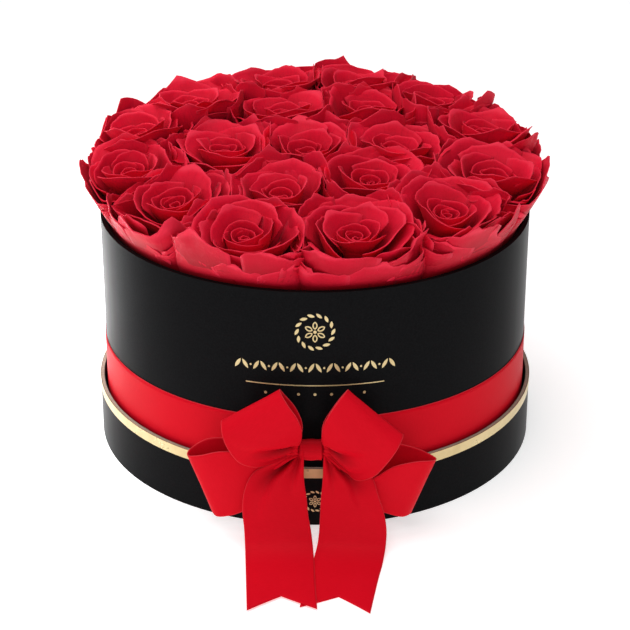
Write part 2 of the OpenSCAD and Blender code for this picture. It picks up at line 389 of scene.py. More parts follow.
@dataclass(frozen=True)
class SatinFinish:
    """Woven red satin: a soft sheen, fine ribs across the ribbon, a painted highlight along the selvages and
    painted shade in the deep creases.
    """

    # deep is the colour of the painted shade in the creases; selvage is the colour of the painted highlight
    # along the ribbon's edges.
    deep: Colour = (0.02, 0.0001, 0.0005)
    face: Colour = (0.71, 0.0045, 0.017)
    thread: Colour = (0.65, 0.0035, 0.012)
    selvage: Colour = (0.88, 0.09, 0.11)
    rib: float = 0.55 * MM
    half_width: float = 20 * MM
    selvage_highlight_width: float = 0.45 * MM

    def build(self) -> bpy.types.Material:
        """Makes the material. The UV map is in metres: across the ribbon, then along it.

        Returns:
            The ribbon's material.
        """
        r = Recipe("red_satin")
        r.constants(Roughness=0.43, Specular_IOR_Level=0.03, Sheen_Weight=0.01, Sheen_Roughness=0.4,
                    Sheen_Tint=(1.0, 0.45, 0.45, 1.0))
        where = r.coordinates((1.0, 1.0, 1.0), on_uv=True)
        ribs = r.node("TexWave", {"Scale": 0.314 / self.rib, "Distortion": 0.6}, bands_direction="Y")
        r.link(where, ribs.inputs["Vector"])
        threads = r.noise(r.coordinates((1.0, 9.0, 1.0), on_uv=True), 260.0)
        cloudy = r.noise(r.coordinates((1, 1, 1)), 35.0)
        mixed = r.blend(r.spread(threads, 0.3, 0.75), self.face, self.thread)
        body = r.blend(r.spread(cloudy, 0.3, 0.8, 0.0, 0.5), mixed, self.face)
        # Painted highlight: a thin lighter line along each selvage.
        parts = r.node("SeparateXYZ")
        r.link(where, parts.inputs["Vector"])
        off_middle = r.node("Math", {1: self.half_width}, operation="SUBTRACT")
        r.link(parts.outputs["X"], off_middle.inputs[0])
        from_middle = r.node("Math", operation="ABSOLUTE")
        r.link(off_middle.outputs["Value"], from_middle.inputs[0])
        inner = self.half_width - self.selvage_highlight_width
        selvage_highlight = r.spread(from_middle.outputs["Value"], inner, self.half_width, 0.0, 0.45)
        edged = r.blend(selvage_highlight, body, self.selvage)
        # Painted shade in the creases, by the depth value that each piece stores.
        r.link(r.blend(r.vertex_value("depth"), edged, self.deep), r.shader.inputs["Base Color"])
        r.relief(ribs.outputs["Fac"], 0.12, 0.12 * MM)
        return r.material


@dataclass(frozen=True)
class PaperFinish:
    """Matt laminated paper with a very fine grain."""

    name: str
    face: Colour
    fibre: Colour
    roughness: float = 0.4
    gloss: float = 0.3

    def build(self) -> bpy.types.Material:
        """Makes the material.

        Returns:
            The paper's material.
        """
        r = Recipe(self.name)
        r.constants(Specular_IOR_Level=self.gloss)
        where = r.coordinates((1, 1, 1))
        grain = r.noise(where, 900.0, 2.0)
        r.link(r.blend(r.spread(grain, 0.35, 0.7), self.face, self.fibre), r.shader.inputs["Base Color"])
        handled = r.noise(where, 18.0)
        r.link(r.spread(handled, 0.3, 0.7, self.roughness - 0.03, self.roughness + 0.03),
               r.shader.inputs["Roughness"])
        r.relief(grain, 0.08, 0.05 * MM)
        return r.material


@dataclass(frozen=True)
class FoilFinish:
    """Gold hot-stamping foil, a little uneven as pressed paper is."""

    bright: Colour = (0.80, 0.64, 0.33)
    dull: Colour = (0.70, 0.54, 0.26)

    def build(self) -> bpy.types.Material:
        """Makes the material.

        Returns:
            The foil's material.
        """
        r = Recipe("gold_foil")
        r.constants(Metallic=0.35)
        where = r.coordinates((1, 1, 1))
        cloudy = r.noise(where, 120.0)
        r.link(r.blend(r.spread(cloudy, 0.3, 0.7), self.bright, self.dull), r.shader.inputs["Base Color"])
        r.link(r.spread(cloudy, 0.3, 0.7, 0.26, 0.36), r.shader.inputs["Roughness"])
        r.relief(r.noise(where, 700.0, 2.0), 0.1, 0.05 * MM)
        return r.material


@dataclass(frozen=True)
class GrainFinish:
    """A plain matt material with grains of two colours, for board, foam, stems and glue."""

    name: str
    face: Colour
    grain: Colour
    size: float
    roughness: float = 0.85
    depth: float = 0.2 * MM

    def build(self) -> bpy.types.Material:
        """Makes the material.

        Returns:
            The grainy material.
        """
        r = Recipe(self.name)
        r.constants(Roughness=self.roughness, Specular_IOR_Level=0.25)
        grains = r.noise(r.coordinates((1, 1, 1)), 1.0 / self.size)
        r.link(r.blend(r.spread(grains, 0.35, 0.65), self.face, self.grain), r.shader.inputs["Base Color"])
        r.relief(grains, 0.4, self.depth)
        return r.material


FINISHES = {
    Slot.PAPER: PaperFinish("black_paper", (0.006, 0.006, 0.0065), (0.0088, 0.0088, 0.0094), 0.31, 0.015),
    Slot.LINING: PaperFinish("lining_paper", (0.012, 0.012, 0.013), (0.018, 0.018, 0.019), 0.7, 0.2),
    Slot.BOARD: GrainFinish("grey_board", (0.30, 0.27, 0.21), (0.38, 0.34, 0.27), 1.5 * MM),
    Slot.FOIL: FoilFinish(),
    Slot.FOAM: GrainFinish("floral_foam", (0.06, 0.15, 0.05), (0.10, 0.22, 0.08), 1.0 * MM, 0.95, 0.5 * MM),
    Slot.STEM: GrainFinish("stem", (0.07, 0.13, 0.03), (0.12, 0.20, 0.05), 2.0 * MM, 0.6),
    Slot.PETAL: PetalFinish(),
    Slot.SATIN: SatinFinish(),
    Slot.GLUE: GrainFinish("glue", (0.72, 0.68, 0.58), (0.80, 0.77, 0.68), 3.0 * MM, 0.4),
}


class Finishes:
    """The object's materials, each made once."""

    def __init__(self) -> None:
        """Builds every finish."""
        self.made = {slot: finish.build() for slot, finish in FINISHES.items()}

    def dress(self, piece: bpy.types.Object, slot: Slot) -> None:
        """Gives a piece its finish and names the record's slot that it comes from.

        Args:
            piece: A new piece or a CAD node's object.
            slot: The material slot.
        """
        piece.data.materials.clear()
        piece.data.materials.append(self.made[slot])

    def fit(self, piece: bpy.types.Object, slot: Slot, thickness: float, node: str) -> None:
        """Finishes a petal or ribbon piece, which stands for a CAD node and moves with the box.

        Args:
            piece: The new piece, still without a thickness.
            slot: The material slot.
            thickness: The thickness of its sheet.
            node: The CAD node.
        """
        thicken(piece, thickness)
        self.dress(piece, slot)
        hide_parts(node)
        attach(piece, BOX_BODY)


# ---- Box, lid and foil prints: CAD nodes that keep their shape ----

@dataclass
class CadPieces:
    """The rigid parts that the CAD makes exactly, and the finish that each one has."""

    finishes: Finishes
    edge_round: float = 0.35 * MM
    slots: dict[str, Slot] = field(default_factory=lambda: {
        "lid_base_sheet": Slot.PAPER, "lid_panel": Slot.BOARD, "lid_wall": Slot.BOARD,
        "lid_wrap": Slot.PAPER, "lid_lining": Slot.LINING, "lid_edge_foil": Slot.FOIL,
        "lid_wreath": Slot.FOIL, "box_base_sheet": Slot.PAPER, "box_base_board": Slot.BOARD,
        "box_wall": Slot.BOARD, "box_wrap": Slot.PAPER, "box_lining": Slot.LINING,
        "foam_block": Slot.FOAM, "rose_stems": Slot.STEM, "rose_calyxes": Slot.STEM,
        "bow_glue_pad": Slot.GLUE, "front_wreath": Slot.FOIL,
        "front_garland": Slot.FOIL, "front_rule": Slot.FOIL, "front_dots": Slot.FOIL})

    def build(self) -> None:
        """Dresses each node, and rounds the folded edges of the paper wraps."""
        for name, slot in self.slots.items():
            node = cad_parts[name]
            self.finishes.dress(node, slot)
            if name in ("lid_wrap", "box_wrap"):
                self.soften(node)
            LOG.info("%s keeps its shape, in %s", name, slot.value)

    def soften(self, node: bpy.types.Object) -> None:
        """Rounds a node's sharp edges with a Bevel modifier, as paper folds over board.

        Args:
            node: The CAD node's object.
        """
        bevel = node.modifiers.new("folded edge", "BEVEL")
        bevel.width = self.edge_round
        bevel.segments = 2
        bevel.limit_method = "ANGLE"
        bevel.harden_normals = True


# ---- Roses ----

@dataclass
class Petal:
    """One petal: a sheet that rises from the calyx, opens and rolls back at its edge.

    Attributes:
        turn: Its direction about the rose's axis. All angles are in radians.
        rim_r: How far its rim stands from the axis.
        rim_z: Height of the rim, where the lip starts.
        base_z: Height where the petal starts.
        half: Half the angle that it reaches round the rose.
        flare: How far it leans out at the rim.
        lip: Length of the lip past the rim.
        curl: How far the lip rolls back.
        side_drop: How much lower its sides are than its tip.
        spiral: How much further out one side stands than the middle, as a share.
        ruffle: Height of the waves along its edge.
        point: How far its tip is drawn out, as a share of the lip.
        cup: How far it leans out at its base.
        shade: How much painted shade it has all over, on top of the painted shade towards its base, from 0
            to 1.
        columns: How many points it has across.
        wall_rows: How many it has from base to rim.
        lip_rows: How many it has on the lip.
    """

    turn: float
    rim_r: float
    rim_z: float
    base_z: float
    half: float
    flare: float
    lip: float
    curl: float
    side_drop: float
    spiral: float
    ruffle: float
    point: float
    cup: float
    shade: float = 0.0
    columns: int = 17
    wall_rows: int = 7
    lip_rows: int = 6

    def surface(self, rng: np.random.Generator) -> tuple[np.ndarray, np.ndarray, np.ndarray, np.ndarray]:
        """Works out the petal's points about its rose's axis.

        Args:
            rng: The source of its ruffles.

        Returns:
            The points as rows by columns by 3, then the painted highlight at its edges, the painted shade
            towards its base, and the flat position of each.
        """
        u = np.linspace(-1, 1, self.columns)[None, :]
        wall = self.rim_z - self.base_z
        s, off_tip = self.outline(u, wall, rng)
        low = np.clip(-s / wall, 0, 1)
        rolled = np.clip(s / self.lip, 0, 1.6)
        out, rise = self.profile(s, low, rolled, off_tip)
        near = np.clip(1 + s / (0.55 * wall), 0, 1) ** 2
        wave, crinkle = self.waves(u, near, rng)
        radius = self.rim_r * (1 + self.spiral * u) + out + wave + crinkle
        radius = np.maximum(radius, 0.5 * MM)
        angle = self.turn + self.half * u * (1 - 0.12 * low)
        drop = self.side_drop * off_tip**1.6 * near
        height = self.rim_z + rise - drop - 0.6 * wave * near + 0.5 * crinkle
        points = np.stack([radius * np.cos(angle), radius * np.sin(angle), height], axis=-1)
        # Painted highlight along the side edges and the rolled-back lip.
        edge = np.clip(np.maximum(np.abs(u) ** 14, rolled**3), 0, 1) * near
        flat = np.stack([u * np.ones_like(s) * 0.5, s / (30 * MM)], axis=-1)
        # low + shade is the painted shade: darker towards the base, deep in the rose.
        return points, edge, low + self.shade, flat

    def outline(self, u: np.ndarray, wall: float, rng: np.random.Generator) -> tuple[np.ndarray, np.ndarray]:
        """Lays the petal out flat, with its tip a little to one side.

        Args:
            u: Where each column is across the petal, from -1 to 1.
            wall: The petal's length from base to rim.
            rng: The source of its tip's place.

        Returns:
            How far past the rim each point lies, and how far across from the tip each column lies.
        """
        down = -wall * np.linspace(1, 0, self.wall_rows) ** 1.3
        up = self.lip * np.linspace(0, 1, self.lip_rows + 1)[1:]
        s = np.concatenate([down, up])[:, None] * np.ones_like(u)
        tip = rng.uniform(-0.3, 0.3)
        off_tip = np.abs(u - tip) / (1 + abs(tip))
        reach = 1 - 0.45 * off_tip**3 + self.point * np.exp(-((off_tip / 0.16) ** 2))
        return np.where(s > 0, s * reach, s), off_tip

    def profile(self, s: np.ndarray, low: np.ndarray, rolled: np.ndarray,
                off_tip: np.ndarray) -> tuple[np.ndarray, np.ndarray]:
        """Leans each row of the petal out by its tilt, and rolls the lip back.

        Args:
            s: How far past the rim each point lies.
            low: How near the base it is, from 0 at the rim to 1.
            rolled: How far along the lip it is, as a share.
            off_tip: How far across from the tip each column lies.

        Returns:
            How far out and how far up from the rim each point comes to lie.
        """
        tilt = self.flare + (self.cup - self.flare) * low**1.2
        tilt = tilt + self.curl * (0.25 + 1.2 * off_tip**1.1) * rolled**1.3
        step = np.diff(s, axis=0)
        mid = (tilt[1:] + tilt[:-1]) / 2
        start = np.zeros_like(s[:1])
        out = np.vstack([start, np.cumsum(step * np.sin(mid), axis=0)])
        rise = np.vstack([start, np.cumsum(step * np.cos(mid), axis=0)])
        rim = self.wall_rows - 1
        return out - out[rim], rise - rise[rim]

    def waves(self, u: np.ndarray, near: np.ndarray,
              rng: np.random.Generator) -> tuple[np.ndarray, np.ndarray]:
        """Ruffles the petal with slow waves and finer crinkles.

        Args:
            u: Where each column is across the petal, from -1 to 1.
            near: How much of the ruffles each point has, from 0 at the base to 1.
            rng: The source of the waves.

        Returns:
            The waves' height and the crinkles' height at each point.
        """
        a, b, c, d = rng.uniform(0, 2 * math.pi, 4)
        pace = rng.uniform(0.8, 1.3, 3)
        wave = np.sin(2.6 * pace[0] * u + a) + 0.75 * np.abs(np.sin(2.7 * pace[1] * u + b)) - 0.4
        crinkle = self.ruffle * near**3 * (0.28 * np.sin(11 * pace[2] * u + c) + 0.16 * np.sin(23 * u + d))
        return wave * self.ruffle * near, crinkle


@dataclass
class Rose:
    """One open rose head, pressed against its neighbours and the box's rim.

    Attributes:
        node: The CAD node that it stands for.
        middle: Its place in the box, as x and y.
        neighbours: The way from its middle to each near head's middle, n by 2.
        on_rim: True if it has a skirt of petals over the box's rim.
        seed: What its own random draws start from.
        box_r: The box's outer radius.
        box_in_r: The box's inner radius.
        rim_z: Height of the box's rim.
        reach: How far its petals reach from its middle, where there's room.
        petals: How many petals it has, apart from the frills and the skirt.
        frill_petals: How many small petals fill its corners.
        swirl_petals: How many of its petals are in the tight swirl.
        swirl_r: The swirl's radius.
        swirl_half: The petals in the swirl reach at least this far round.
        swirl_highlight_share: How strong the painted highlight on their edges is, as a share of the other
            petals'.
        shade_gain: How fast the painted shade on petals deepens towards their base.
        vein_range: The veins of each petal start at a random place in this range.
        thickness: A petal's thickness.
        overlap: How far its petals reach in among a neighbour's.
        skirt_overlap: How far the skirt's do.
        skirt_gap: How far the other petals stay inside the skirt.
        over_rim: How far the petals bulge past the box.
        bulge_height: How far above the rim they reach that bulge.
        wall_gap: How far they stay clear of the box's wall.
        corner: How sharply its outline turns from one neighbour to the next.
        free_reach: How far its petals go where nothing is near, as a share of the reach.
        give: The last share of the room, where the petals start to be pressed.
        pivot_drop: How far under its crown it leans from.
        front_lean: How far it leans to the front.
        outward_lean: How far a head at the box's wall leans outwards.
        skirt_places: Direction in degrees and height in mm of each petal in the skirt.
    """

    node: str
    middle: np.ndarray
    neighbours: np.ndarray
    on_rim: bool
    seed: int
    box_r: float
    box_in_r: float
    rim_z: float
    reach: float
    petals: int = 19
    frill_petals: int = 6
    swirl_petals: int = 8
    swirl_r: float = 13 * MM
    swirl_half: float = math.radians(84)
    swirl_highlight_share: float = 0.5
    shade_gain: float = 1.3
    vein_range: float = 50.0
    thickness: float = 0.5 * MM
    overlap: float = 3.5 * MM
    skirt_overlap: float = 9 * MM
    skirt_gap: float = 5 * MM
    over_rim: float = 12 * MM
    bulge_height: float = 32 * MM
    wall_gap: float = 1.2 * MM
    corner: int = 9
    free_reach: float = 1.2
    give: float = 0.2
    pivot_drop: float = 10 * MM
    front_lean: float = math.radians(3)
    outward_lean: float = math.radians(8)
    skirt_places: tuple[tuple[float, float], ...] = (
        (-84, 18), (84, 19), (-34, 24), (46, 21), (5, 13), (-60, 12), (70, 10))

    def build(self, finishes: Finishes) -> None:
        """Makes the head as one piece, which stands for its CAD node.

        Args:
            finishes: The materials.
        """
        rng = np.random.default_rng(self.seed)
        low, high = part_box(self.node)
        top = high.z
        points, edges, painted_shade_values, flats, faces = [], [], [], [], []
        first = 0
        head = self.plan(rng, top, low.z)
        for petal in head + (self.skirt(rng, top) if self.on_rim else []):
            surface, edge, depth, flat = petal.surface(rng)
            rows, columns = edge.shape
            faces += grid_faces(rows, columns, first)
            first += rows * columns
            points.append(surface.reshape(-1, 3))
            # Painted highlight along each petal's edges, fainter in the swirl; painted shade towards each
            # petal's base.
            edges.append(edge.ravel() * (1.0 if petal.half < self.swirl_half else self.swirl_highlight_share))
            painted_shade_values.append(depth.ravel())
            flats.append(flat.reshape(-1, 2) + rng.uniform(0, self.vein_range, 2))
        upright = [p + [*self.middle, 0.0] for p in points[len(head):]]
        open_head = self.misshape(np.vstack(points[:len(head)]), rng)
        placed = self.squeeze(self.lean(open_head, top), self.overlap, self.skirt_gap)
        if upright:
            placed = np.vstack([placed, self.squeeze(np.vstack(upright), self.skirt_overlap)])
        rose = mesh_piece(self.node + "_petals", placed, faces)
        # The painted highlight and the painted shade, which the petals' finish reads.
        add_values(rose, "edge", np.concatenate(edges))
        add_values(rose, "depth", np.clip(np.concatenate(painted_shade_values) * self.shade_gain, 0, 1))
        add_uv(rose, np.vstack(flats))
        finishes.fit(rose, Slot.PETAL, self.thickness, self.node)
        LOG.info("%s has %d petals", rose.name, len(edges))

    def plan(self, rng: np.random.Generator, top: float, bottom: float) -> list[Petal]:
        """Chooses the petals from the tight swirl outwards.

        Args:
            rng: The source of their variety.
            top: Height of the rose's crown.
            bottom: Height where its petals start.

        Returns:
            The petals, innermost first.
        """
        start = rng.uniform(0, 2 * math.pi)
        swirl_r = self.swirl_r * rng.uniform(0.85, 1.15)
        made = []
        for k in range(self.petals):
            jitter = rng.uniform(-1, 1, 6)
            turn = start + k * GOLDEN_ANGLE + 0.25 * jitter[0]
            if k < self.swirl_petals:
                t = k / (self.swirl_petals - 1)
                made.append(self.swirl_petal(t, turn, swirl_r, top, jitter))
            else:
                t = (k - self.swirl_petals) / (self.petals - 1 - self.swirl_petals)
                made.append(self.open_petal(t, turn, swirl_r, (bottom, top), jitter))
        return made + self.frills(rng, top)

    def swirl_petal(self, t: float, turn: float, swirl_r: float, top: float, jitter: np.ndarray) -> Petal:
        """One of the petals in the middle, which stand upright and wrap round each other.

        Args:
            t: Its place in the swirl, from 0 in the middle to 1 on the outside.
            turn: Its direction.
            swirl_r: The swirl's radius.
            top: Height of the rose's crown.
            jitter: Six numbers from -1 to 1 that vary it.

        Returns:
            The petal.
        """
        return Petal(
            turn=turn,
            rim_r=1.5 * MM + (swirl_r - 1.5 * MM) * t**1.1,
            rim_z=top - (11.5 - 6.0 * t) * MM + 0.9 * MM * jitter[1],
            base_z=top - 30 * MM,
            half=math.radians(150 - 66 * t),
            flare=math.radians(-12 + 20 * t),
            lip=(0.6 + 1.2 * t) * MM,
            curl=math.radians(25 + 40 * t),
            side_drop=(0.8 + 3.0 * t) * MM,
            spiral=0.30 - 0.20 * t,
            ruffle=(0.2 + 0.5 * t) * MM,
            point=0.3,
            cup=math.radians(5 + 25 * t),
            columns=19,
            wall_rows=6,
            lip_rows=3)

    def open_petal(self, t: float, turn: float, swirl_r: float, heights: tuple[float, float],
                   jitter: np.ndarray) -> Petal:
        """One of the petals round the swirl, which open wider and hang lower to the front.

        Args:
            t: Its place, from 0 next to the swirl to 1 on the outside.
            turn: Its direction.
            swirl_r: The swirl's radius.
            heights: Heights of the rose's bottom and crown.
            jitter: Six numbers from -1 to 1 that vary it.

        Returns:
            The petal.
        """
        bottom, top = heights
        rim_r = swirl_r + 2.5 * MM + (self.reach - swirl_r - 2.5 * MM) * t
        to_front = 0.5 - 0.5 * math.sin(turn)
        dip = 3.0 * (1 - min(1.0, 2.2 * t)) + (6.0 + 6.0 * to_front) * t**1.6
        return Petal(
            turn=turn,
            rim_r=rim_r * (1 + 0.08 * jitter[1]),
            rim_z=top - dip * MM + (1.2 + 2.0 * t) * MM * jitter[2],
            base_z=bottom if t > 0.5 else top - 36 * MM,
            half=math.radians(70 - 16 * t + 10 * jitter[3]),
            flare=math.radians(14 + 28 * t + 10 * jitter[4]),
            lip=(2.0 + 3.0 * t + 1.2 * jitter[5]) * MM,
            curl=math.radians(62 + 30 * t + 30 * jitter[3]),
            side_drop=(4.0 + 5.0 * t) * MM,
            spiral=0.08 * (1 - 0.4 * t),
            ruffle=(0.9 + 1.7 * t) * MM,
            point=0.7 + 0.7 * jitter[4],
            cup=math.radians(46 + 8 * jitter[5]))

    def frills(self, rng: np.random.Generator, top: float) -> list[Petal]:
        """Small crumpled petals that fill the corners between the heads.

        Args:
            rng: The source of their variety.
            top: Height of the rose's crown.

        Returns:
            The petals.
        """
        made = []
        for k in range(self.frill_petals):
            jitter = rng.uniform(-1, 1, 4)
            made.append(Petal(
                turn=(k + 0.4 * jitter[0]) * 2 * math.pi / self.frill_petals,
                rim_r=self.reach * 1.05,
                rim_z=top - (4.5 + 4.5 * jitter[1]) * MM,
                base_z=top - 34 * MM,
                half=math.radians(24 + 7 * jitter[2]),
                flare=math.radians(24 + 14 * jitter[3]),
                lip=(4.5 + 1.5 * jitter[2]) * MM,
                curl=math.radians(85 + 35 * jitter[0]),
                side_drop=4 * MM,
                spiral=0.05,
                ruffle=2.2 * MM,
                point=0.9 + 0.7 * jitter[3],
                cup=math.radians(40),
                columns=13))
        return made

    def skirt(self, rng: np.random.Generator, top: float) -> list[Petal]:
        """The outermost petals of a rose at the rim, which bulge out over it.

        Args:
            rng: The source of their variety.
            top: Height of the rose's crown.

        Returns:
            The petals.
        """
        outward = math.atan2(self.middle[1], self.middle[0])
        lift = 0.25 * (top - self.rim_z - 28 * MM)
        made = []
        for turn, height in self.skirt_places:
            jitter = rng.uniform(-1, 1, 4)
            made.append(Petal(
                turn=outward + math.radians(turn + 7 * jitter[0]),
                rim_r=self.reach * 1.1,
                rim_z=self.rim_z + lift + (height + 2 * jitter[1]) * MM,
                base_z=self.rim_z - 16 * MM,
                half=math.radians(38 + 8 * jitter[2]),
                flare=math.radians(8 + 10 * jitter[0]),
                lip=(4.5 + 1.5 * jitter[3]) * MM,
                curl=math.radians(55 + 50 * jitter[1]),
                side_drop=(7 + 3 * jitter[3]) * MM,
                spiral=0.05 * jitter[1],
                ruffle=4.2 * MM,
                point=1.1 + 0.7 * jitter[2],
                # Painted shade all over the skirt petals.
                shade=0.25,
                cup=math.radians(30)))
        return made

    def misshape(self, points: np.ndarray, rng: np.random.Generator) -> np.ndarray:
        """Makes the head a little lopsided, as grown flowers are.

        Args:
            points: The petals' points about the rose's own axis.
            rng: The source of its shape.

        Returns:
            The points, moved a few millimetres at most.
        """
        a, b, c = rng.uniform(0, 2 * math.pi, 3)
        radius = np.linalg.norm(points[:, :2], axis=1)
        turn = np.arctan2(points[:, 1], points[:, 0])
        share = np.clip(radius / self.reach, 0, 1)
        scale = 1 + 0.10 * share * np.sin(2 * turn + a) + 0.06 * share * np.sin(3 * turn + b)
        moved = points.copy()
        moved[:, :2] *= scale[:, None]
        shift = rng.uniform(0.5, 2.5) * MM * (1 - share) ** 1.5
        moved[:, 0] += shift * np.cos(c)
        moved[:, 1] += shift * np.sin(c)
        moved[:, 2] += 2.0 * MM * share * np.sin(turn * 2 + c)
        return moved

    def lean(self, points: np.ndarray, top: float) -> np.ndarray:
        """Tips the head outwards and a little to the front, and puts it in its place.

        Args:
            points: The petals' points about the rose's own axis.
            top: Height of the rose's crown.

        Returns:
            The points in the frame.
        """
        tip = self.middle / self.box_r * math.tan(self.outward_lean)
        axis = Vector((tip[0], tip[1] - math.tan(self.front_lean), 1.0)).normalized()
        turn = np.array(Vector((0, 0, 1)).rotation_difference(axis).to_matrix())
        pivot = np.array([0, 0, top - self.pivot_drop])
        return (points - pivot) @ turn.T + pivot + np.array([*self.middle, 0.0])

    def squeeze(self, points: np.ndarray, overlap: float, inset: float = 0.0) -> np.ndarray:
        """Presses the petals in where they meet the neighbouring heads or the box.

        Args:
            points: The points in the frame.
            overlap: How far petals may reach in among a neighbour's.
            inset: How far the petals stay inside those that lean on the box.

        Returns:
            The points, moved towards the rose's middle where there's no room.
        """
        away = points[:, :2] - self.middle
        distance = np.maximum(np.linalg.norm(away, axis=1), 1e-6)
        direction = away / distance[:, None]
        tightness = np.full(len(points), 1.0 / (self.free_reach * self.reach)) ** self.corner
        for other in self.neighbours:
            along = direction @ other
            half_way = (other @ other) / 2 / np.maximum(along, 1e-5) + overlap
            tightness += np.where(along > 1e-5, 1.0 / half_way, 0.0) ** self.corner
        above = np.clip((points[:, 2] - self.rim_z + 1 * MM) / self.bulge_height, 0, 1)
        wall = self.box_in_r - self.wall_gap
        room = wall + (self.box_r + self.over_rim - wall) * above**0.85
        along = direction @ self.middle
        to_wall = -along + np.sqrt(np.maximum(along**2 + room**2 - self.middle @ self.middle, 0))
        limit = np.minimum(tightness ** (-1 / self.corner), np.maximum(to_wall - inset, 1 * MM))
        free = 1 - self.give
        x = distance / limit
        soft = np.where(x < free, x, free + self.give * np.tanh((x - free) / self.give))
        moved = points.copy()
        moved[:, :2] = self.middle + direction * (soft * limit)[:, None]
        return moved


@dataclass
class RoseBed:
    """All the rose heads, in the places that the CAD gives them.

    Attributes:
        finishes: The materials.
        reach: How far a head's petals reach from its middle, where there's room.
        near: The heads closer than this press on each other.
        rim_share: Heads further out than this share of the box's radius are at the rim.
        first_seed: The first head's seed.
        seed_step: How far the seeds of two heads are apart.
    """

    finishes: Finishes
    reach: float = 40 * MM
    near: float = 95 * MM
    rim_share: float = 0.7
    first_seed: int = 41
    seed_step: int = 7

    def places(self) -> dict[str, np.ndarray]:
        """Finds each rose's middle from the calyxes, which are round cones under the heads.

        Returns:
            The middle of each rose node, as x and y.
        """
        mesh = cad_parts["rose_calyxes"].data
        centres: dict[tuple[int, int], list[np.ndarray]] = {}
        for part in loose_parts(mesh):
            spots = np.array([mesh.vertices[i].co[:2] for i in part])
            centre = (spots.min(0) + spots.max(0)) / 2
            centres.setdefault(tuple(np.round(centre / MM).astype(int)), []).append(centre)
        return self.match([np.mean(same, axis=0) for same in centres.values()])

    def match(self, centres: list[np.ndarray]) -> dict[str, np.ndarray]:
        """Gives each rose node the calyx nearest the middle of its box.

        Args:
            centres: The calyxes' middles.

        Returns:
            The middle of each rose node.
        """
        found = {}
        names = sorted(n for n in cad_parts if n.startswith("rose_") and n[5:].isdigit())
        for name in names:
            middle = np.array(centre_of(name)[:2])
            found[name] = min(centres, key=lambda spot: float(np.linalg.norm(spot - middle)))
        return found

    def build(self) -> None:
        """Makes every rose."""
        places = self.places()
        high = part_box("box_wrap")[1]
        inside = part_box("box_lining")[1].x
        box_in_r = inside - (high.x - inside)
        for k, (name, middle) in enumerate(places.items()):
            others = [p - middle for n, p in places.items() if n != name]
            neighbours = np.array([d for d in others if np.linalg.norm(d) < self.near])
            rose = Rose(
                node=name,
                middle=middle,
                neighbours=neighbours,
                on_rim=bool(np.linalg.norm(middle) > self.rim_share * high.x),
                seed=self.first_seed + self.seed_step * k,
                box_r=high.x,
                box_in_r=box_in_r,
                rim_z=high.z,
                reach=self.reach)
            rose.build(self.finishes)


# ---- Ribbon ----

@dataclass(frozen=True)
class Crease:
    """A valley in the ribbon, which starts at the knot and runs out along the ribbon.

    Attributes:
        place: Where it starts, as a share of the width.
        drift: How far it would drift across over the whole length, as a share of the width.
        depth: Its depth at the knot.
        run: The share of the length over which it fades out.
    """

    place: float
    drift: float
    depth: float
    run: float


